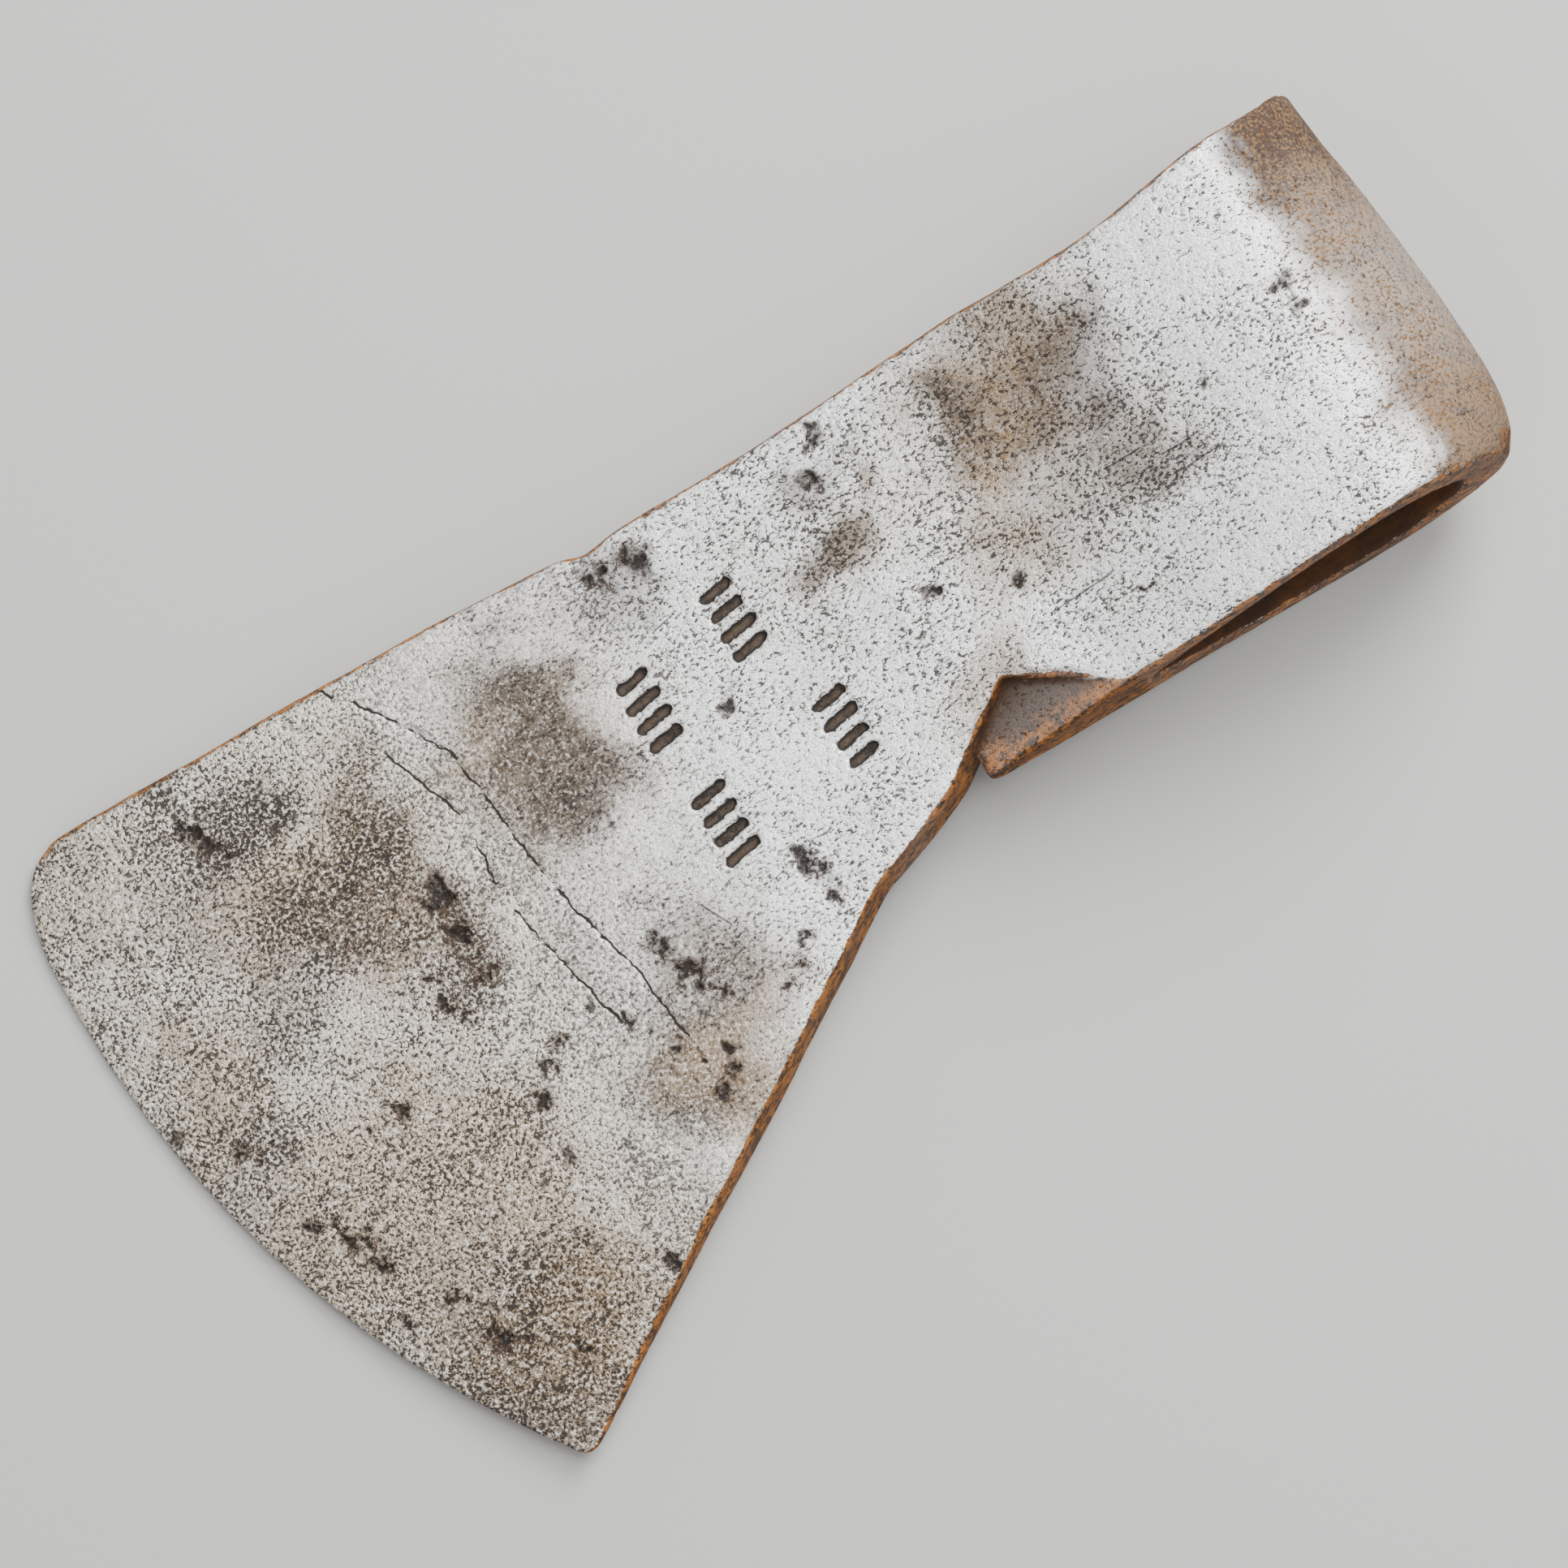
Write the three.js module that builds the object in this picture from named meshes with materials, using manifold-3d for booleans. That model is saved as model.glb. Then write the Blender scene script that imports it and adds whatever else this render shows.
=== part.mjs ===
// A forged iron trade axe head, lying on its cheek. One piece of iron: a bar folded round to make the eye
// for the haft, welded to itself in front of the eye, and drawn out into a flaring blade.
//
// Millimetres. The head is first drawn upright on its own middle plane: X runs from the poll to the cutting
// edge, Y from the back edge to the beard, and Z through the thickness. It is then laid down on one cheek.
import * as THREE from "three";
import { mergeVertices } from "three/addons/utils/BufferGeometryUtils.js";
import Module from "manifold-3d";

const wasm = await Module();
wasm.setup();

const point = (x, y) => new THREE.Vector2(x, y);

// The sleeve round the eye, with its rims square to the haft.
const SLEEVE_HEIGHT = 51.5; // from the back rim to the beard rim
const CHEEK_HALF = 17.4; // half the width over the cheeks
const POLL_DEPTH = 14; // from the poll's end to the widest line of the cheeks
const CHEEK_LEANS = [point(26, CHEEK_HALF), point(40, 11.6)]; // the cheek's curve leans on these two
const SHOULDER = point(54, 8.8); // where the sleeve's walls have drawn in to the blade
const NOSE_HALF = 1.3; // half the width of the pinched front end of the sleeve
const NOSE_FOOT = 73.6; // where the nose's front meets the notch
const NOSE_TIP = 74.6; // and where it ends at the beard rim, leaning forward
const RIM_SPARE = 1; // the sleeve is drawn this much too high and then cut back to its rim
const SLEEVE_STEPS = 18; // rings of points that the poll's bow is drawn with

// The poll from the side: how far it stands out (x) at shares of the sleeve's height (y).
const POLL_BOW = new THREE.SplineCurve([
  point(0.3, 0),
  point(2.4, 0.25),
  point(3.9, 0.7),
  point(3.1, 0.91),
  point(0.4, 1),
]);

// The haft hole, a teardrop that ends where the walls are welded together.
const HOLE_START = 6.2;
const HOLE_WIDEST = 18; // from the poll's end to the hole's widest line
const HOLE_HALF = 12;
const HOLE_LEANS = [point(29, HOLE_HALF), point(41, 5.5)]; // its walls' curve leans on these two
const HOLE_END = 51;

// The back edge rises a little over the eye and falls away to the toe, with a dent halfway.
const BACK_EDGE = [
  point(14, 1),
  point(30, 2.5),
  point(48, 1.4),
  point(80, 1.1),
  point(97, 0.6),
  point(103, 1),
  point(109, -0.6),
  point(140, -3.1),
  point(178, -5.3),
];

// The cutting edge is an arc, and its bevel follows it.
const EDGE_CENTRE = point(53.5, 15.4);
const EDGE_RADIUS = 134.5;
const EDGE_HALF = 0.5; // half the thickness of the worn edge
const TOE_ANGLE = THREE.MathUtils.degToRad(-3.2); // the arc's two ends
const HEEL_ANGLE = THREE.MathUtils.degToRad(37.1);
const TOE_ROUND = point(186.2, -5.2); // the corner that the toe rounds off
const HEEL_ROUND = 2;

// The beard, from the notch under the eye to the heel.
const NOTCH = point(66.4, 42.2);
const BEARD_SHOULDER = point(78.5, 50.3);
const BEARD_LEAN = point(83.5, 52.8); // the short curve past the shoulder leans on this
const BEARD_STRAIGHT = point(93, 55.9); // from here to the heel the beard is straight
const WEB = point(53.5, 50.2); // where the blade's face runs out on the sleeve

// Half the blade's thickness (y) from the root to the edge (x).
const BLADE_TAPER = [point(66, 7.7), point(90, 5.8), point(130, 3.9), point(165, 2.3), point(190, 1.1)];
const ROOT = point(36, 11.4); // the root is buried in the sleeve's front
const ROOT_TOP = 5; // and starts this far under the back rim, so that no step shows on the rim

// The bevel's half thickness (y) at a distance from the cutting edge (x).
const BEVEL = [
  point(0, EDGE_HALF),
  point(3, 0.95),
  point(12, 1.9),
  point(30, 3.5),
  point(60, 6),
  point(90, 9),
  point(100, 40), // clear of the blade
];

const ARC_STEP = 6; // degrees from one point to the next on round stretches
const EDGE_STEPS = 12; // straight steps along the cutting edge
const WIDE = 80; // wider than the head is thick, for bodies that are cut to shape
const PAST = 20; // how far those bodies run past the head's back

const APEX = EDGE_CENTRE.x + EDGE_RADIUS;

const onEdge = (angle) =>
  point(Math.cos(angle), Math.sin(angle)).multiplyScalar(EDGE_RADIUS).add(EDGE_CENTRE);

// A closed three.js geometry as a manifold-3d solid, without triangles that have lost a side.
function solid(geometry) {
  geometry.deleteAttribute("normal");
  geometry.deleteAttribute("uv");
  const merged = mergeVertices(geometry, 1e-4);
  const index = merged.index.array;
  const triangles = [];
  for (let i = 0; i < index.length; i += 3) {
    const [a, b, c] = [index[i], index[i + 1], index[i + 2]];
    if (a !== b && b !== c && c !== a) triangles.push(a, b, c);
  }
  const mesh = new wasm.Mesh({
    numProp: 3,
    vertProperties: merged.attributes.position.array,
    triVerts: new Uint32Array(triangles),
  });
  return new wasm.Manifold(mesh);
}

// A side outline (x, y) as a slab that is thicker than the head.
function slab(outline) {
  const geometry = new THREE.ExtrudeGeometry(outline, {
    depth: WIDE,
    bevelEnabled: false,
    curveSegments: 10,
  });
  return solid(geometry.translate(0, 0, -WIDE / 2));
}

// A plan outline (x, z) as a prism along Y, from y = low to y = high.
function prism(outline, low, high, steps = 1) {
  const geometry = new THREE.ExtrudeGeometry(outline, {
    depth: high - low,
    steps,
    bevelEnabled: false,
  });
  return geometry.rotateX(Math.PI / 2).translate(0, high, 0);
}

// A closed plan outline from its upper half and that half's mirror image.
function mirrored(half) {
  const other = half
    .filter((place) => place.y > 0)
    .reverse()
    .map((place) => point(place.x, -place.y));
  return new THREE.Shape([...half, ...other]);
}

// A quarter of an ellipse, from its end on the X axis towards its highest point.
function quarterEllipse(startX, topX, topY) {
  const count = Math.round(90 / ARC_STEP);
  return Array.from({ length: count }, (_, i) => {
    const turn = (i / count) * (Math.PI / 2);
    return point(topX - (topX - startX) * Math.cos(turn), topY * Math.sin(turn));
  });
}

// Half the sleeve's plan: round poll, cheeks that draw in, and the pinched nose.
const cheek = new THREE.CubicBezierCurve(
  point(POLL_DEPTH, CHEEK_HALF),
  ...CHEEK_LEANS,
  SHOULDER,
);
const sleeveHalf = [
  ...quarterEllipse(0, POLL_DEPTH, CHEEK_HALF),
  ...cheek.getPoints(10),
  point(NOSE_TIP + 2, NOSE_HALF),
];

function sleeve() {
  const geometry = prism(mirrored(sleeveHalf), -RIM_SPARE, SLEEVE_HEIGHT, SLEEVE_STEPS);
  const place = geometry.attributes.position;
  for (let i = 0; i < place.count; i += 1) {
    const share = THREE.MathUtils.clamp(place.getY(i) / SLEEVE_HEIGHT, 0, 1);
    const reach = Math.max(0, 1 - place.getX(i) / POLL_DEPTH);
    place.setX(i, place.getX(i) - reach * POLL_BOW.getPoint(bowTurn(share)).x);
  }
  const side = new THREE.Shape();
  side.moveTo(-WIDE, 0);
  side.lineTo(0, 0);
  side.splineThru(BACK_EDGE.slice(0, 3));
  side.lineTo(NOTCH.x, BACK_EDGE[2].y);
  side.lineTo(NOSE_FOOT, NOTCH.y);
  side.lineTo(NOSE_TIP, SLEEVE_HEIGHT);
  side.lineTo(-WIDE, SLEEVE_HEIGHT);
  return solid(geometry).intersect(slab(side));
}

// The place along the poll's bow that lies at a share of the sleeve's height.
function bowTurn(share) {
  let low = 0;
  let high = 1;
  for (let i = 0; i < 20; i += 1) {
    const middle = (low + high) / 2;
    if (POLL_BOW.getPoint(middle).y < share) low = middle;
    else high = middle;
  }
  return low;
}

// The blade from the side: back edge, toe, cutting edge, heel, beard, and the web up to the sleeve.
function bladeSide() {
  const toe = onEdge(TOE_ANGLE);
  const heel = onEdge(HEEL_ANGLE);
  const up = BEARD_STRAIGHT.clone().sub(heel).setLength(HEEL_ROUND).add(heel);
  const side = new THREE.Shape();
  side.moveTo(ROOT.x, ROOT_TOP);
  side.lineTo(BACK_EDGE[2].x, BACK_EDGE[2].y);
  side.splineThru(BACK_EDGE.slice(3));
  side.quadraticCurveTo(TOE_ROUND.x, TOE_ROUND.y, toe.x, toe.y);
  const sweep = HEEL_ANGLE - HEEL_ROUND / EDGE_RADIUS - TOE_ANGLE;
  for (let i = 1; i <= EDGE_STEPS; i += 1) {
    const place = onEdge(TOE_ANGLE + (sweep * i) / EDGE_STEPS);
    side.lineTo(place.x, place.y);
  }
  side.quadraticCurveTo(heel.x, heel.y, up.x, up.y);
  side.lineTo(BEARD_STRAIGHT.x, BEARD_STRAIGHT.y);
  side.quadraticCurveTo(BEARD_LEAN.x, BEARD_LEAN.y, BEARD_SHOULDER.x, BEARD_SHOULDER.y);
  side.lineTo(NOTCH.x, NOTCH.y);
  side.lineTo(WEB.x, WEB.y);
  side.lineTo(ROOT.x, WEB.y);
  return side;
}

// A disc turned about the centre of the cutting edge: its rim is the edge, and its faces the bevel.
function edgeDisc() {
  const upper = BEVEL.map((place) => point(EDGE_RADIUS - place.x, place.y));
  const half = [...upper, point(0, BEVEL.at(-1).y)];
  const under = half.map((place) => point(place.x, -place.y)).reverse();
  const geometry = new THREE.LatheGeometry([...under, ...half], 180);
  return solid(geometry.rotateX(Math.PI / 2).translate(EDGE_CENTRE.x, EDGE_CENTRE.y, 0));
}

function blade() {
  const taper = new THREE.SplineCurve([SHOULDER, ...BLADE_TAPER]);
  const plan = mirrored([point(ROOT.x, 0), ROOT, ...taper.getPoints(20)]);
  const thickness = solid(prism(plan, -PAST, APEX));
  return slab(bladeSide()).intersect(thickness).intersect(edgeDisc());
}

// The haft hole, straight through from rim to rim.
function haftHole() {
  const wall = new THREE.CubicBezierCurve(
    point(HOLE_WIDEST, HOLE_HALF),
    ...HOLE_LEANS,
    point(HOLE_END, 0),
  );
  const half = [...quarterEllipse(HOLE_START, HOLE_WIDEST, HOLE_HALF), ...wall.getPoints(10)];
  return solid(prism(mirrored(half), -PAST, SLEEVE_HEIGHT + PAST));
}

// The head forged in one: sleeve and blade joined, and the eye left open.
function axeHead() {
  const forged = sleeve().add(blade()).subtract(haftHole()).getMesh();
  const geometry = new THREE.BufferGeometry();
  geometry.setAttribute("position", new THREE.BufferAttribute(forged.vertProperties, 3));
  geometry.setIndex(new THREE.BufferAttribute(forged.triVerts, 1));
  geometry.computeVertexNormals();
  const iron = new THREE.MeshStandardMaterial({ color: 0xb4b0a8, roughness: 0.55, metalness: 0.85 });
  const mesh = new THREE.Mesh(geometry, iron);
  mesh.name = "axe_head";
  return mesh;
}

// Laid down, the head rests on its cutting edge and on the line of the cheek that stands out furthest.
const lieAngle = Math.max(
  ...sleeveHalf.map((place) => Math.atan2(place.y - EDGE_HALF, APEX - place.x)),
);
const head = axeHead();
head.rotation.y = lieAngle;
const lying = new THREE.Group();
lying.add(head);

// The origin is on the surface that it lies on, under the middle of its box.
const box = new THREE.Box3().setFromObject(lying, true);
const middle = box.getCenter(new THREE.Vector3());
head.position.set(-middle.x, -middle.y, -box.min.z);

export default lying;
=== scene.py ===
import math
import random

import bmesh
import bpy
from mathutils import Matrix, Vector


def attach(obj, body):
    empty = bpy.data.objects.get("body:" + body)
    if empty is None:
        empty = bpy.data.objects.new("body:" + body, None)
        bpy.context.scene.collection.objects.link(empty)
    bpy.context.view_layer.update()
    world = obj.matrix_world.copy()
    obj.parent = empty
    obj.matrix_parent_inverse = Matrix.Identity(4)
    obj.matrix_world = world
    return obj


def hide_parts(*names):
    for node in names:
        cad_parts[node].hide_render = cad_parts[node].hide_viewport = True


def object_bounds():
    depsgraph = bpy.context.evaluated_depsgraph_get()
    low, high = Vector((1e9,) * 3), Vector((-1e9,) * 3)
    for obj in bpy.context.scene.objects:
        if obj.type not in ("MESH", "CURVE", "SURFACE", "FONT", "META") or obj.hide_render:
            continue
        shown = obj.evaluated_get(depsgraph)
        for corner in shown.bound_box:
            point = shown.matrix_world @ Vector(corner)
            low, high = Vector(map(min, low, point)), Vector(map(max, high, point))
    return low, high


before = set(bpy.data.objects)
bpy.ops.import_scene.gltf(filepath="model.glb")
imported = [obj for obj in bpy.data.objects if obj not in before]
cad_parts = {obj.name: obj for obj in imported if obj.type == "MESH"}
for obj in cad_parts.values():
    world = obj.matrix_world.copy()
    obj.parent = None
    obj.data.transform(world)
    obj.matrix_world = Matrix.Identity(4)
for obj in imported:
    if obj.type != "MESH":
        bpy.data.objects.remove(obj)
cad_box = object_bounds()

# ---------------------------------------------------------------------------------------------------------
# The camera looks down on the upper cheek, a few degrees from the beard's side so that the rim on that side
# of the eye just shows. The head lies aslant across the view, poll at the upper right.
# ---------------------------------------------------------------------------------------------------------
MM = 0.001
scene = bpy.context.scene
view_target = Vector((4.8, -6.4, 15.4)) * MM
view_distance = 1.0  # metres
view_tilt = math.radians(8)
view_roll = math.radians(31.43)
view_width = 193.2 * MM  # what the picture spans at the target

toward_camera = Vector((0, math.sin(view_tilt), math.cos(view_tilt)))
to_the_right = Vector((-math.cos(view_roll), 0, 0)) + math.sin(view_roll) * Vector(
    (0, math.cos(view_tilt), -math.sin(view_tilt))
)
upward = toward_camera.cross(to_the_right)
facing = Matrix((to_the_right, upward, toward_camera)).transposed().to_4x4()

camera_data = bpy.data.cameras.new("camera")
camera_data.lens = camera_data.sensor_width * view_distance / view_width
camera_data.clip_end = 20
camera = bpy.data.objects.new("camera", camera_data)
camera.matrix_world = Matrix.Translation(view_target + toward_camera * view_distance) @ facing
scene.collection.objects.link(camera)
scene.camera = camera


# ---------------------------------------------------------------------------------------------------------
# The forged head: one bar of wrought iron, folded round a mandrel for the eye, fire-welded to itself and
# drawn out under the hammer. Burial has pitted it, and the smith's scarf shows as cracks across the blade.
# It stands for the frame's one solid and rides on its one body.
# ---------------------------------------------------------------------------------------------------------
class Wire:
    """An output of a node. Sums and products of wires add Math nodes, and node() adds any other node."""

    def __init__(self, tree, socket=None):
        self.tree = tree
        self.socket = socket

    def node(self, kind, settings=None, sockets=None, out=0):
        made = self.tree.nodes.new(kind)
        for name, value in (settings or {}).items():
            setattr(made, name, value)
        for name, value in (sockets or {}).items():
            if isinstance(value, Wire):
                self.tree.links.new(value.socket, made.inputs[name])
            else:
                made.inputs[name].default_value = value
        return Wire(self.tree, made.outputs[out])

    def math(self, operation, first, second=0.0):
        return self.node("ShaderNodeMath", {"operation": operation}, {0: first, 1: second})

    def __add__(self, other):
        return self.math("ADD", self, other)

    def __radd__(self, other):
        return self.math("ADD", other, self)

    def __sub__(self, other):
        return self.math("SUBTRACT", self, other)

    def __rsub__(self, other):
        return self.math("SUBTRACT", other, self)

    def __mul__(self, other):
        return self.math("MULTIPLY", self, other)

    def __rmul__(self, other):
        return self.math("MULTIPLY", other, self)

    def __truediv__(self, other):
        return self.math("DIVIDE", self, other)

    def most(self, other):
        return self.math("MAXIMUM", self, other)

    def least(self, other):
        return self.math("MINIMUM", self, other)

    def clamped(self):
        return self.node("ShaderNodeClamp", None, {"Value": self})

    def rise(self, low, high):
        """0 up to low, 1 from high on and smooth between."""
        ends = {"Value": self, "From Min": low, "From Max": high}
        return self.node("ShaderNodeMapRange", {"interpolation_type": "SMOOTHSTEP"}, ends)

    def vector(self, operation, other, out=0):
        """Vector maths on this wire. A plain number beside a vector counts for all three of its parts."""
        sockets = {0: self, 3 if operation == "SCALE" else 1: other}
        return self.node("ShaderNodeVectorMath", {"operation": operation}, sockets, out)

    def away(self, other):
        return self.vector("DISTANCE", other, 1)

    def part(self, axis):
        return self.node("ShaderNodeSeparateXYZ", None, {0: self}, axis)

    def noise(self, grain, detail=2.0, roughness=0.5, out=0):
        """Noise on this vector, in lumps of about the grain: a number, or with out=1 a colour."""
        sockets = {"Vector": self, "Scale": 1.0 / grain, "Detail": detail, "Roughness": roughness}
        return self.node("ShaderNodeTexNoise", None, sockets, out)

    def strayed(self, grain, reach):
        """This place, moved about at random within the reach's three parts."""
        wander = self.noise(grain, 2.0, 0.6, out=1).vector("SUBTRACT", (0.5, 0.5, 0.5))
        return self.vector("ADD", wander.vector("MULTIPLY", reach))

    def cells(self, grain, out=0):
        """Cells of about the grain on this vector: the distance from a cell's seed, or the cell's colour."""
        return self.node("ShaderNodeTexVoronoi", None, {"Vector": self, "Scale": 1.0 / grain}, out)

    def from_lines(self, lines):
        """How far this place is from the nearest of some lines of places."""
        nearest = None
        for line in lines:
            for first, last in zip(line, line[1:]):
                run = Vector((last[0] - first[0], last[1] - first[1], 0))
                ahead = self.vector("SUBTRACT", (*first, 0))
                share = ahead.vector("DOT_PRODUCT", run / run.length_squared, 1).clamped()
                away = ahead.away(share.vector("MULTIPLY", run))
                nearest = nearest.least(away) if nearest else away
        return nearest


# The sizes in this section are millimetres. Places are given as on the upright head: along from the poll,
# and down from the back edge.
lie_angle = math.radians(5.611)  # the turn about Y that lays the upright head on its cheek
head_origin = cad_box[0] / MM + Vector((3.98, 5.3, 19.1))  # where that head's zero point then is
edge_centre = (53.5, 15.4, 0)  # the cutting edge is an arc about this place
edge_radius = 134.5
chance = random.Random(7)

# Corrosion pits that stand out, as short chains: first, last, how many, and their radius.
pit_chains = [
    ((12, 22), (12.4, 24.2), 2, 1.2),
    ((26, 24), (26, 26), 2, 0.8),
    ((45, 43), (46, 42), 1, 0.9),
    ((58, 33), (58, 33), 1, 0.8),
    ((68, 29), (68, 29), 1, 0.9),
    ((71, 3), (73, 9), 3, 1.3),
    ((97, 6), (104, 4), 4, 1.8),
    ((97, 27), (97, 27), 1, 1.4),
    ((99, 47), (98, 54), 5, 1.0),
    ((104, 57), (108, 60), 3, 0.9),
    ((120, 48), (117, 56), 4, 1.3),
    ((120, 64), (122, 68), 3, 1.1),
    ((128, 53), (123, 62), 4, 0.8),
    ((138, 51), (143, 56), 3, 1.2),
    ((140, 26), (141, 40), 6, 1.5),
    ((148, 33), (146, 42), 4, 1.2),
    ((159, 47), (168, 49), 3, 0.9),
    ((174, 43), (179, 42), 3, 1.1),
    ((175, 53), (170, 62), 5, 1.2),
    ((165, 70), (161, 80), 6, 1.2),
    ((172, 70), (172, 70), 1, 0.9),
    ((155, 84), (155, 84), 1, 1.2),
    ((140, 79), (139, 81), 2, 1.2),
    ((164, 3), (160, 8), 4, 1.4),
]
pit_looseness = 0.7  # how far a pit may stray from its chain, in radii
pit_spread = (0.55, 1.25)  # how small and large a pit may be, in radii
pit_places = []
pit_sizes = []
for first, last, count, radius in pit_chains:
    for i in range(count):
        share = i / max(1, count - 1)
        loose = pit_looseness * radius if count > 1 else 0
        where = [a + (b - a) * share + chance.uniform(-loose, loose) for a, b in zip(first, last)]
        pit_places.append((*where, 0))
        pit_sizes.append(radius * chance.uniform(*pit_spread))
pit_mesh = bpy.data.meshes.new("pits")
pit_mesh.from_pydata(pit_places, [], [])
pit_mesh.attributes.new("size", "FLOAT", "POINT").data.foreach_set("value", pit_sizes)
pits = bpy.data.objects.new("pits", pit_mesh)
scene.collection.objects.link(pits)

# Rows of struck tally strokes in the place of the smith's stamps.
stroke_rows = [(91, 18), (106, 22), (86, 37), (105, 39)]
strokes_in_row = 4
stroke_step = 2.75
stroke_length = 5.3
stroke_width = 1.6
stroke_slant = math.radians(8)
stroke_spread = (0.85, 1.1)  # how short and long a stroke may be, as a share of its length
stroke_lines = []
for along, down in stroke_rows:
    for i in range(strokes_in_row):
        middle = down + (i - (strokes_in_row - 1) / 2) * stroke_step
        half = (stroke_length - stroke_width) / 2 * chance.uniform(*stroke_spread)
        run = (half * math.cos(stroke_slant), half * math.sin(stroke_slant))
        stroke_lines.append([(along - run[0], middle - run[1]), (along + run[0], middle + run[1])])

# The scarf's open cracks, and a few straight scratches.
scarf_along = 129
scarf_line = [
    (143, -6),
    (139, -1),
    (134, 6),
    (130, 13),
    (scarf_along, 20),
    (128, 31),
    (126, 41),
    (124, 48),
    (123, 59),
]
crack_lines = [scarf_line, [(137, 9), (133, 20)], [(133, 24), (133.5, 30)], [(133.5, 34), (129, 53)]]
scratch_lines = [
    [(57, 39), (48, 39)],
    [(100, 14), (97, 13.5)],
    [(113, 46), (111, 50)],
    [(42, 28), (37, 28.3)],
    [(35, 30.5), (31, 30.8)],
    [(33, 33.5), (28, 33.6)],
]

relief = bpy.data.node_groups.new("iron relief", "GeometryNodeTree")
relief.interface.new_socket("Geometry", in_out="INPUT", socket_type="NodeSocketGeometry")
relief.interface.new_socket("Geometry", in_out="OUTPUT", socket_type="NodeSocketGeometry")
relief_sizes = {
    "Hammering": 0.9,
    "Pitting": 0.3,
    "Marked pits": 0.65,
    "Stroke depth": 0.8,
    "Crack depth": 0.15,
    "Scarf step": 0.2,
    "Rim wear": 0.45,
}
relief_ids = {}
for name in relief_sizes:
    socket = relief.interface.new_socket(name, in_out="INPUT", socket_type="NodeSocketFloat")
    relief_ids[name] = socket.identifier
wrought_iron = bpy.data.materials.new("wrought_iron")

flow = Wire(relief)
start = relief.nodes.new("NodeGroupInput")
size = {name: Wire(relief, start.outputs[name]) for name in relief_sizes}
place = flow.node("GeometryNodeInputPosition")
normal = flow.node("GeometryNodeInputNormal")


def turned_back(vector):
    """A direction in the lying head's frame, as it is on the upright head."""
    turn = {"Vector": vector, "Axis": (0, 1, 0), "Angle": -lie_angle}
    return flow.node("ShaderNodeVectorRotate", {"rotation_type": "AXIS_ANGLE"}, turn)


upright = turned_back(place.vector("SCALE", 1 / MM).vector("SUBTRACT", head_origin))
facing_side = turned_back(normal)
flat = upright.vector("MULTIPLY", (1, 1, 0))
upper = facing_side.part(2).rise(0.25, 0.6)
from_edge = edge_radius - flat.away(edge_centre)
blunt = from_edge.rise(0.5, 6) * 0.85 + 0.1

# Worn rims: the skin sinks to its own blurred shape, but hardly along the thin cutting edge.
blur_rounds = 16
blurred = flow.node(
    "GeometryNodeBlurAttribute",
    {"data_type": "FLOAT_VECTOR"},
    {"Value": place, "Iterations": blur_rounds, "Weight": 1.0},
)
sunk = blurred.vector("SUBTRACT", place)
out_of_skin = sunk.vector("DOT_PRODUCT", normal, 1) / MM
worn = (0 - out_of_skin).rise(0.02, 0.2)
hollow = out_of_skin.rise(0.02, 0.2)

# Hammering and the rims' ragged wear.
lumps = upright.noise(34, 1.0) + upright.noise(11, 1.0) * 0.35 + upright.noise(3, 2.0) * 0.12
height = (lumps - 0.73) * size["Hammering"] * blunt
height = height - worn * upright.noise(5, 3.0).rise(0.42, 0.7) * size["Rim wear"] * blunt

# Scattered pits: in some cells a ragged hollow, thicker in patches and towards the edge.
torn = upright.strayed(1.1, (4, 4, 4))
thick = (upright.noise(22, 2.0).rise(0.4, 0.62) * 0.6 + 0.2) * (upright.part(0).rise(95, 130) * 0.6 + 0.4)
pit_grades = ((6, 0.8), (2.8, 0.6), (1.5, 0.45))  # the grain of the cells and how deep their pits are
scattered = None
for grain, deep in pit_grades:
    reach = (torn.cells(grain, 1).part(0) - 1.0 + thick * 0.7) * 0.7
    pit = (reach.least(0.26) - torn.cells(grain)).rise(0.0, 0.2) * deep
    scattered = scattered.most(pit) if scattered else pit
height = height - scattered * size["Pitting"] * (blunt * 0.7 + 0.3)

# The marked pits.
near_pit = flow.node("GeometryNodeObjectInfo", None, {"Object": pits}, "Geometry")
ragged = flat.strayed(1.8, (6, 6, 0)).strayed(0.6, (1.2, 1.2, 0))
sample = {"Geometry": near_pit, "Sample Position": ragged}
pit_distance = flow.node("GeometryNodeProximity", {"target_element": "POINTS"}, sample, "Distance")
pit_number = flow.node("GeometryNodeSampleNearest", None, sample, "Index")
size_of_pit = flow.node("GeometryNodeInputNamedAttribute", {"data_type": "FLOAT"}, {"Name": "size"})
pit_size = flow.node(
    "GeometryNodeSampleIndex",
    {"data_type": "FLOAT"},
    {"Geometry": near_pit, "Value": size_of_pit, "Index": pit_number},
)
pit_share = pit_distance / pit_size
height = height - (1 - pit_share).rise(0.0, 0.7) * size["Marked pits"] * pit_size * 0.8 * upper

# The struck strokes, the cracks, and the low step where the two irons meet.
crooked = flat.strayed(3, (1.8, 1.8, 0))
stroke_away = flat.strayed(0.8, (0.9, 0.9, 0)).from_lines(stroke_lines)
struck = (stroke_width / 2 - stroke_away).rise(-0.15, 0.45)
cracked = (0.35 - crooked.from_lines(crack_lines)).rise(0.0, 0.35)
past_scarf = (upright.part(0) - scarf_along).rise(-1, 3)
height = height - (struck * size["Stroke depth"] + cracked * size["Crack depth"]) * upper
height = height - past_scarf * size["Scarf step"] * upper * blunt

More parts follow.
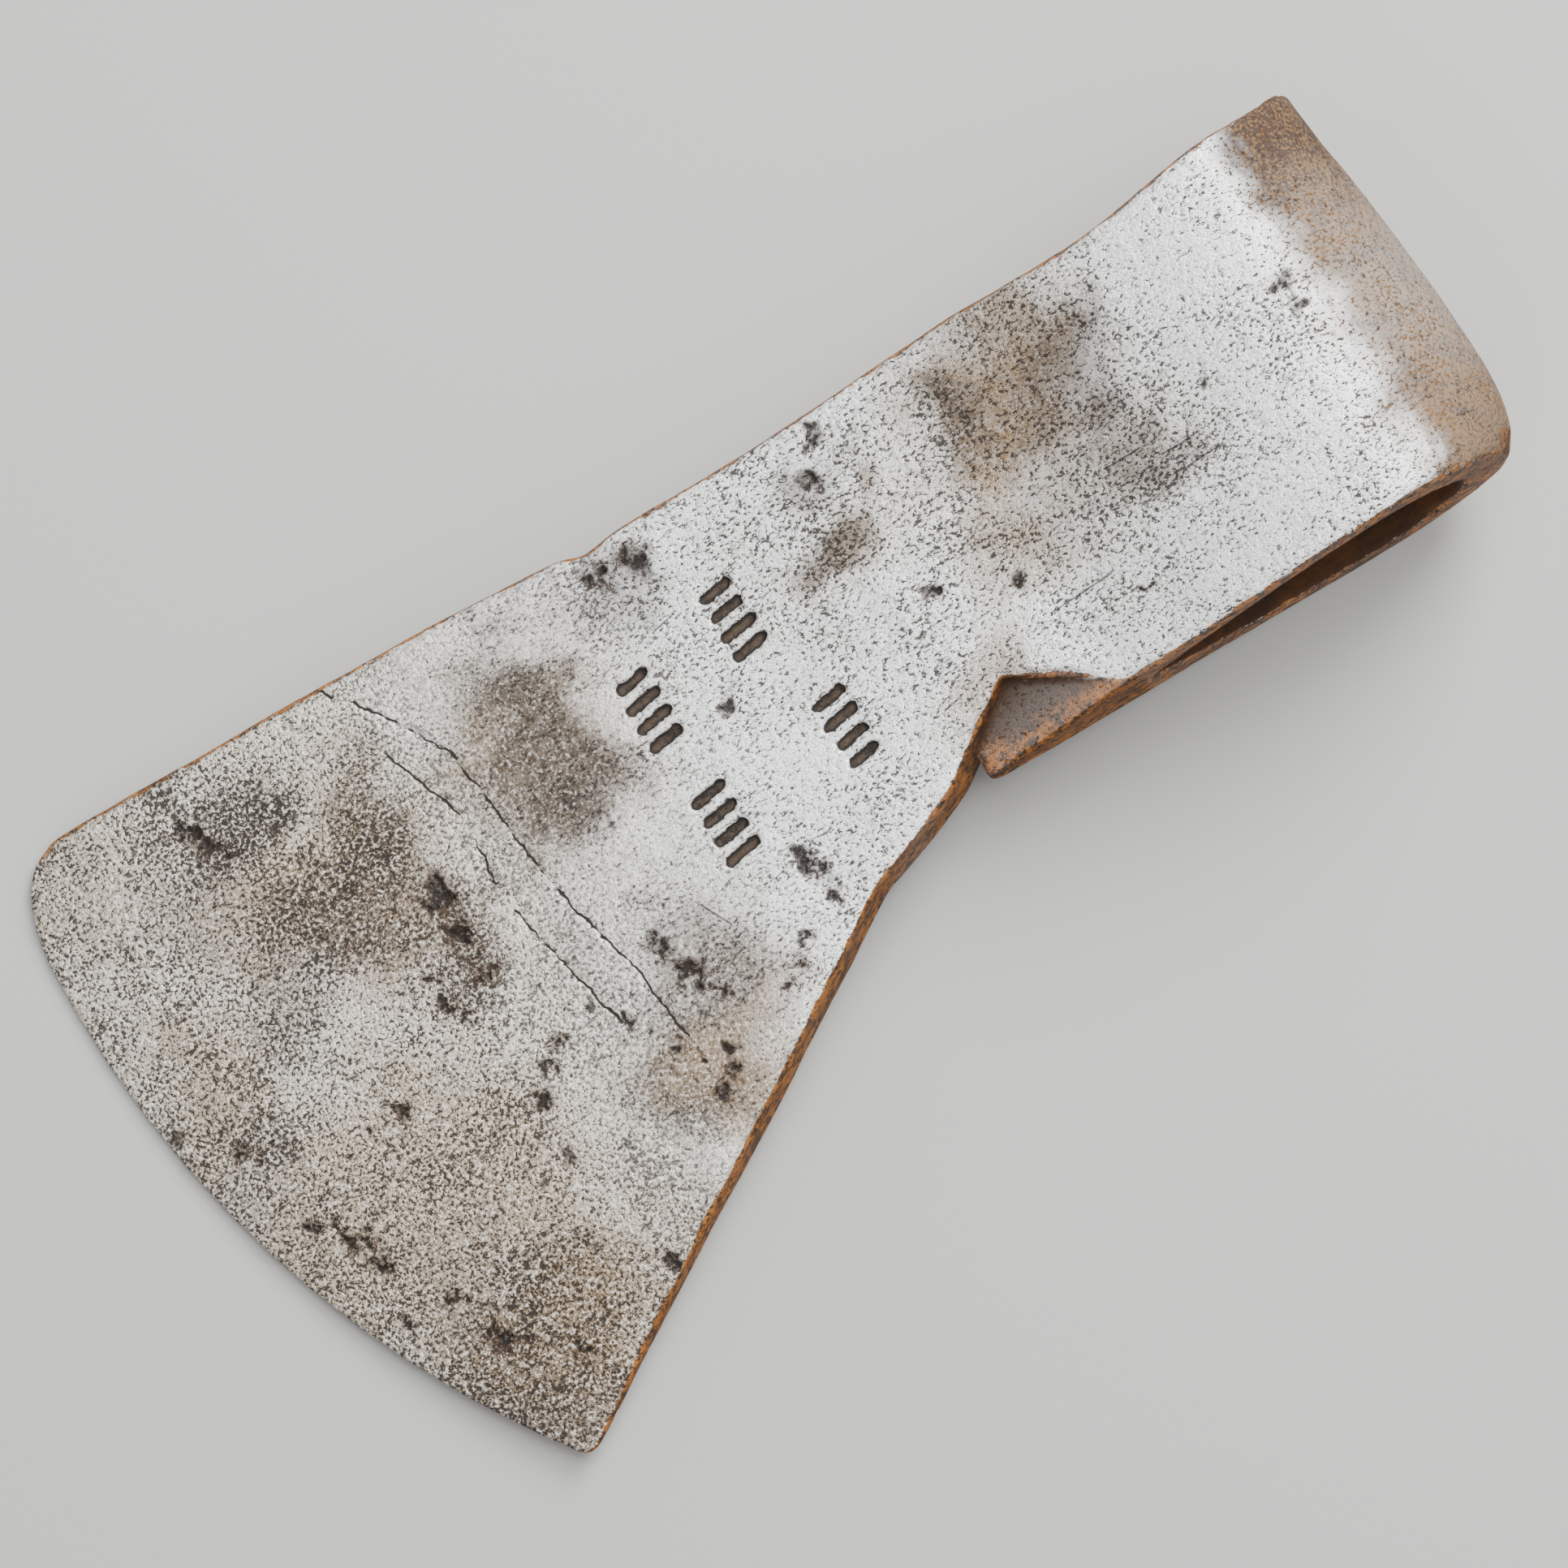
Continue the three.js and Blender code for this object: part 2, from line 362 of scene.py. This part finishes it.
# Stains, with drifting outlines: along, down, reach and strength. Among the smoke stains, the two at along
# 119 are painted shade of a dent near the scarf.
tan_stains = [
    (50, 14, 19, 1.0),
    (38, 26, 12, 0.6),
    (54, 27, 13, 0.8),
    (72, 18, 8, 0.9),
    (119, 15, 17, 0.8),
    (150, 22, 24, 0.8),
    (160, 60, 28, 0.6),
    (156, 82, 24, 0.9),
    (178, 60, 16, 0.6),
    (66, 41, 9, 0.7),
    (118, 61, 14, 0.9),
    (179, 33, 13, 0.6),
    (177, 4, 11, 0.4),
]
smoke_stains_and_dent_shade = [
    (40, 15, 11, 0.75),
    (37, 28, 9, 0.65),
    (56, 11, 7, 0.9),
    (73, 18, 6, 0.75),
    (72, 6, 6, 0.7),
    (100, 5, 8, 0.6),
    # The next two are painted shade: a dark dent near the scarf, in dark grey.
    (119, 8, 10, 0.85),
    (119, 19, 11, 0.85),
    (143, 18, 13, 0.75),
    (154, 25, 12, 0.8),
    (164, 26, 12, 0.5),
    (142, 33, 11, 0.6),
    (165, 90, 20, 0.65),
    (152, 78, 12, 0.35),
    (127, 62, 9, 0.35),
    (161, 5, 8, 0.8),
    (166, 12, 9, 0.4),
    (163, 74, 13, 0.5),
    (177, 46, 11, 0.35),
    (119, 51, 8, 0.5),
]
bright_places = [
    (17, 8, 15, 1.0),
    (12, 34, 14, 0.7),
    (30, 44, 14, 0.7),
    (60, 46, 12, 0.9),
    (80, 46, 12, 0.7),
    (98, 40, 14, 0.4),
    (132, 6, 9, 0.5),
    (157, 35, 14, 0.8),
    (150, 3, 9, 0.4),
]
drifting = upright.strayed(18, (30, 30, 0)).strayed(4, (5, 5, 0)).vector("MULTIPLY", (1, 1, 0))


def spread(places):
    """How much of such a stain, painted dent shade included, there is here."""
    total = None
    for middle, below, reach, strength in places:
        share = (1 - drifting.away((middle, below, 0)) / reach).rise(-0.1, 0.7) * strength
        total = total.most(share) if total else share
    return total


# What the paint has to know, such as which way each part faced before it was worn.
hole_middle = 24  # along, on the middle line of the haft hole
past_hole = 56  # along, just past the hole's front end
pit_halo = 2.4  # how far a marked pit's dirt reaches, in radii
# Faces inside the haft hole. The paint darkens them with rust that is partly painted shade of the eye's
# interior.
toward_hole = upright.vector("MULTIPLY", (-1, 0, -1)).vector("ADD", (hole_middle, 0, 0))
inside = toward_hole.vector("DOT_PRODUCT", facing_side, 1).rise(0.5, 3)
inside = inside * (past_hole - upright.part(0)).rise(0, 2)
kept_values = {
    "pitted": scattered,
    "marked": (pit_halo - pit_share).rise(0.0, pit_halo) * upper,
    "upper": upper,
    "worn": worn,
    "hollow": hollow,
    "rim": flow.math("ABSOLUTE", facing_side.part(1)).rise(0.35, 0.75),
    "poll": (0 - facing_side.part(0)),
    "inside": inside,
    "stroke": stroke_away,
    "tanned": spread(tan_stains),
    "smoked": spread(smoke_stains_and_dent_shade),
    "brightened": spread(bright_places),
    "patchy": upright.noise(9, 3.0, 0.6),
    "cloud": upright.noise(26, 3.0, 0.55),
}
geometry = Wire(relief, start.outputs["Geometry"])
for name, value in kept_values.items():
    sockets = {"Geometry": geometry, "Name": name, "Value": value}
    settings = {"data_type": "FLOAT", "domain": "POINT"}
    geometry = flow.node("GeometryNodeStoreNamedAttribute", settings, sockets)

# Hammering has drawn the poll's back corner out into a low burr, about a millimetre high.
burr_corner = (-1, 0, 0)
burr_reach = 8
burr_way = Matrix.Rotation(lie_angle, 3, "Y") @ Vector((-0.4, -1, 0))
burr = (1 - flat.away(burr_corner) / burr_reach).rise(0.0, 1.0)
offset = sunk.vector("SCALE", blunt * (1 - burr)).vector("ADD", normal.vector("SCALE", height * MM))
offset = offset.vector("ADD", (burr * MM).vector("MULTIPLY", burr_way))
geometry = flow.node("GeometryNodeSetPosition", None, {"Geometry": geometry, "Offset": offset})
geometry = flow.node("GeometryNodeRealizeInstances", None, {"Geometry": geometry})
geometry = flow.node("GeometryNodeSetMaterial", None, {"Geometry": geometry, "Material": wrought_iron})
relief.links.new(geometry.socket, relief.nodes.new("NodeGroupOutput").inputs["Geometry"])

# The skin is the solid with its doubles merged, in an even fine grid that can take the relief.
skin_grain = 0.34
skin_triangles = 190000
doubles_gap = 0.01


def settled(thing, name):
    """The thing with its modifiers applied, as a new object."""
    evaluated = thing.evaluated_get(bpy.context.evaluated_depsgraph_get())
    mesh = bpy.data.meshes.new_from_object(evaluated)
    mesh.name = name
    made = bpy.data.objects.new(name, mesh)
    scene.collection.objects.link(made)
    return made


shape = bmesh.new()
shape.from_mesh(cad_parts["axe_head"].data)
bmesh.ops.remove_doubles(shape, verts=shape.verts, dist=doubles_gap * MM)
bmesh.ops.recalc_face_normals(shape, faces=shape.faces)
blank_mesh = bpy.data.meshes.new("blank")
shape.to_mesh(blank_mesh)
shape.free()
blank = bpy.data.objects.new("blank", blank_mesh)
scene.collection.objects.link(blank)
grid = blank.modifiers.new("grid", "REMESH")
grid.mode = "VOXEL"
grid.voxel_size = skin_grain * MM
work = blank.modifiers.new("relief", "NODES")
work.node_group = relief
for name, value in relief_sizes.items():
    work[relief_ids[name]] = value
fine = settled(blank, "fine")
fewer = fine.modifiers.new("fewer", "DECIMATE")
fewer.ratio = min(1.0, skin_triangles / (2 * len(fine.data.polygons)))
fewer.use_collapse_triangulate = True
head = settled(fine, "forged_head")
for spare in (blank, fine, pits):
    bpy.data.objects.remove(spare)
head.data.shade_smooth()

wrought_iron.use_nodes = True
paint = Wire(wrought_iron.node_tree)
shader = wrought_iron.node_tree.nodes["Principled BSDF"]
here = paint.node("ShaderNodeTexCoord", None, None, "Object")
upright = paint.node(
    "ShaderNodeMapping",
    {"vector_type": "TEXTURE"},
    {"Vector": here, "Location": head_origin * MM, "Rotation": (0, lie_angle, 0), "Scale": (MM, MM, MM)},
)
flat = upright.vector("MULTIPLY", (1, 1, 0))
along = upright.part(0)
down = upright.part(1)
kept = {
    name: paint.node("ShaderNodeAttribute", {"attribute_name": name}, None, "Fac") for name in kept_values
}


def mixed(share, first, second):
    sockets = {"Factor": share, "A": first, "B": second}
    return paint.node("ShaderNodeMix", {"data_type": "RGBA"}, sockets, 2)


# Corrosion specks: fine and drawn out along the iron's grain on the sleeve, thick and coarse on the blade.
sleeve_end = 92
blade_start = 150
speck_level = 0.565  # the noise above this is a speck
blade = along.rise(sleeve_end, blade_start)
patchy = kept["patchy"]
smoked = kept["smoked"]
brightened = kept["brightened"]
sleeve_grain = upright.vector("MULTIPLY", (0.72, 1.0, 1.0)).noise(0.46, 3.0, 0.75)
blade_grain = upright.noise(0.47, 2.0, 0.75)
thinner = speck_level - (patchy - 0.5) * 0.22 - smoked * 0.03 + brightened * 0.02
sleeve_specks = (sleeve_grain - thinner + 0.024).rise(-0.01, 0.035) * (1 - blade)
blade_specks = (blade_grain - thinner + 0.06).rise(0.0, 0.06) * blade
salt = (0.43 - blade_grain).rise(0.0, 0.06) * (0.35 + blade * 0.65)
specks = sleeve_specks + blade_specks
blotches = (upright.noise(2.0, 3.0, 0.65) + (patchy - 0.5) * 0.3).rise(0.58, 0.68)
mottle = upright.noise(1.5, 4.0, 0.7)

# The marks' own dirt, crisp at any size: dark in strokes and cracks, ragged round the pits.
crooked = flat.strayed(3, (1.8, 1.8, 0))
in_stroke = (stroke_width / 2 - kept["stroke"]).rise(-0.08, 0.12) * kept["upper"]
stroke_wall = kept["stroke"].rise(0.15, 0.6)
gap = upright.noise(2.2, 2.0).rise(0.35, 0.5) * 0.16
in_crack = (gap - crooked.from_lines(crack_lines)).rise(-0.09, 0.03) * kept["upper"]
in_scratch = (0.1 - flat.from_lines(scratch_lines)).rise(-0.08, 0.03) * kept["upper"]
in_pit = (kept["marked"] + (blade_grain - 0.5) * 0.9).rise(0.58, 0.95) * 0.92
near_pit = (kept["marked"] + (mottle - 0.5) * 0.8).rise(0.2, 0.8)

bright_iron = (0.88, 0.88, 0.87, 1)
dull_iron = (0.6, 0.585, 0.56, 1)
blade_iron = (0.53, 0.475, 0.385, 1)
# Dark grey of smoke stains, also used for the painted shade of a dent near the scarf.
smoke_stain_and_shade_grey = (0.065, 0.047, 0.034, 1)
tan_stain = (0.24, 0.148, 0.066, 1)
dark_oxide = (0.02, 0.016, 0.014, 1)
brown_rust = (0.038, 0.019, 0.01, 1)
orange_rust = (0.29, 0.105, 0.016, 1)
burnt_rust = (0.1, 0.037, 0.01, 1)

dull = (kept["cloud"].rise(0.35, 0.72) * 0.5 + (mottle - 0.5) * 0.9 - brightened).clamped()
colour = mixed(dull, bright_iron, dull_iron)
colour = mixed((blade - brightened * 0.3).clamped() * 0.85, colour, blade_iron)
colour = mixed(kept["tanned"] * (0.55 + mottle * 0.6), colour, tan_stain)
colour = mixed(smoked * (0.42 + mottle * 0.9).least(0.95), colour, smoke_stain_and_shade_grey)
colour = mixed(salt * 0.6, colour, bright_iron)
colour = mixed(blotches * 0.3, colour, smoke_stain_and_shade_grey)
colour = mixed(specks * (0.5 + mottle * 1.0).least(0.96), colour, dark_oxide)
colour = mixed(kept["pitted"].rise(0.05, 0.5) * 0.8, colour, dark_oxide)
colour = mixed(near_pit * 0.7, colour, brown_rust)

# Rust that handling never reached, on the rims and edge walls. Round the poll, a band of tan and brown rust
# is laid by which way the surface faces, partly painted shade where the rounded poll turns away. Further
# down, the eye gets its own.
poll_rust_and_shade = (kept["poll"] + (patchy - 0.5) * 0.8).rise(0.12, 0.55)
poll_rust_and_shade = poll_rust_and_shade * (1 - down.rise(4, 22) * 0.16 + down.rise(30, 48) * 0.12)
rust_lot = upright.vector("MULTIPLY", (0.45, 1, 1)).noise(3.5, 5.0, 0.7)
rust = mixed(rust_lot.rise(0.36, 0.58), burnt_rust, orange_rust)
rust = mixed((mottle * 0.7 + blade_grain * 0.3).rise(0.46, 0.56), rust, brown_rust)
rust = mixed((sleeve_grain - 0.56).rise(0.0, 0.06) * 0.7, rust, dark_oxide)
poll_tan = (0.155, 0.082, 0.03, 1)
poll_grain = blade_grain + (rust_lot - 0.5) * 0.5 + (1 - down.rise(2, 20)) * 0.1
band = mixed(poll_grain.rise(0.48, 0.6), poll_tan, brown_rust)
colour = mixed(poll_rust_and_shade * 0.98, colour, band)
rubbed = kept["worn"] * (mottle + (patchy - 0.5) * 0.8).rise(0.42, 0.6)
walls = (kept["rim"] + (patchy - 0.5) * 0.4 - rubbed * 0.55).rise(0.3, 0.6)
colour = mixed(walls * 0.95, colour, rust)

# The nose that shows under the notch. The notch's two sides slope away from its top. Below them the surface
# is painted dark brown going to orange rust, darkest next to the notch: partly rust, partly painted shade of
# the surface turning away there.
notch_along = 66.4
notch_down = 42.2
notch_slope = 0.64
past_nose = 82
below_notch = down + (mottle - 0.5) * 2 - notch_down
below_notch = below_notch - notch_slope * paint.math("ABSOLUTE", along - notch_along)
notch_shade_and_rust = below_notch.rise(-0.3, 0.4) * (past_nose - along).rise(0, 3)
notch_rust_and_shade_colour = mixed((down + (patchy - 0.5) * 5).rise(46.5, 50), brown_rust, rust)
colour = mixed(notch_shade_and_rust * 0.93, colour, notch_rust_and_shade_colour)

# Dirt in the hollows, dark rust in the eye that is partly painted shade, and the marks on top of all.
colour = mixed(kept["hollow"] * 0.8, colour, brown_rust)
colour = mixed(kept["inside"], colour, mixed(rust_lot.rise(0.4, 0.65) * 0.6, brown_rust, burnt_rust))
colour = mixed(in_pit.most(in_crack).most(in_scratch * 0.8), colour, dark_oxide)
stroke_floor = mixed(stroke_wall.most(1 - mottle.rise(0.35, 0.6)), smoke_stain_and_shade_grey, dark_oxide)
colour = mixed(in_stroke, colour, stroke_floor)
paint.tree.links.new(colour.socket, shader.inputs["Base Color"])

# Bare iron is bright and smooth, and rust, dirt and stain are dull and rough.
grain_depth = 0.4
marks = in_pit.most(in_crack).most(in_stroke)
rusty = specks.most(marks).most(walls).most(kept["inside"]).most(notch_shade_and_rust).most(poll_rust_and_shade).most(smoked * 0.6)
metallic = 0.8 - rusty * 0.7
roughness = 0.44 + rusty * 0.36 + (mottle - 0.5) * 0.25 - brightened * 0.08
paint.tree.links.new(metallic.socket, shader.inputs["Metallic"])
paint.tree.links.new(roughness.socket, shader.inputs["Roughness"])
surface = mottle * 0.5 - blade_grain * blade - sleeve_grain * (1 - blade)
bump = paint.node("ShaderNodeBump", None, {"Height": surface, "Strength": 0.8, "Distance": grain_depth * MM})
paint.tree.links.new(bump.socket, shader.inputs["Normal"])
shader.inputs["Specular IOR Level"].default_value = 0.2

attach(head, "root")
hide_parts("axe_head")

# ---------------------------------------------------------------------------------------------------------
# The studio: a plain pale floor, a large soft light above the poll, a weaker one across from it, and even
# pale surroundings that the bare iron mirrors.
# ---------------------------------------------------------------------------------------------------------
floor_half = 3.0  # metres, as all sizes in this section
floor_grey = (0.35, 0.347, 0.338, 1)
surround_grey = (0.85, 0.85, 0.85, 1)
surround_strength = 0.85
floor_mesh = bpy.data.meshes.new("floor")
floor_corners = [
    (-floor_half, -floor_half, 0),
    (floor_half, -floor_half, 0),
    (floor_half, floor_half, 0),
    (-floor_half, floor_half, 0),
]
floor_mesh.from_pydata(floor_corners, [], [(0, 1, 2, 3)])
floor = bpy.data.objects.new("floor", floor_mesh)
scene.collection.objects.link(floor)
pale = bpy.data.materials.new("pale_floor")
pale.use_nodes = True
pale_shader = pale.node_tree.nodes["Principled BSDF"]
pale_shader.inputs["Base Color"].default_value = floor_grey
pale_shader.inputs["Roughness"].default_value = 0.8
floor_mesh.materials.append(pale)

softboxes = [
    # name, place, width, watts
    ("key softbox", (-0.55, -0.3, 0.5), 0.4, 10.5),
    ("overhead softbox", (-0.45, -0.1, 1.15), 0.9, 22),
    ("fill softbox", (0.7, 0.6, 0.8), 0.8, 4.5),
]
for name, where, width, watts in softboxes:
    light_data = bpy.data.lights.new(name, "AREA")
    light_data.size = width
    light_data.energy = watts
    light = bpy.data.objects.new(name, light_data)
    light.location = where
    light.rotation_mode = "QUATERNION"
    light.rotation_quaternion = (Vector(where) - view_target).to_track_quat("Z", "Y")
    scene.collection.objects.link(light)
world = bpy.data.worlds.new("studio")
world.use_nodes = True
background = world.node_tree.nodes["Background"]
background.inputs["Color"].default_value = surround_grey
background.inputs["Strength"].default_value = surround_strength
scene.world = world
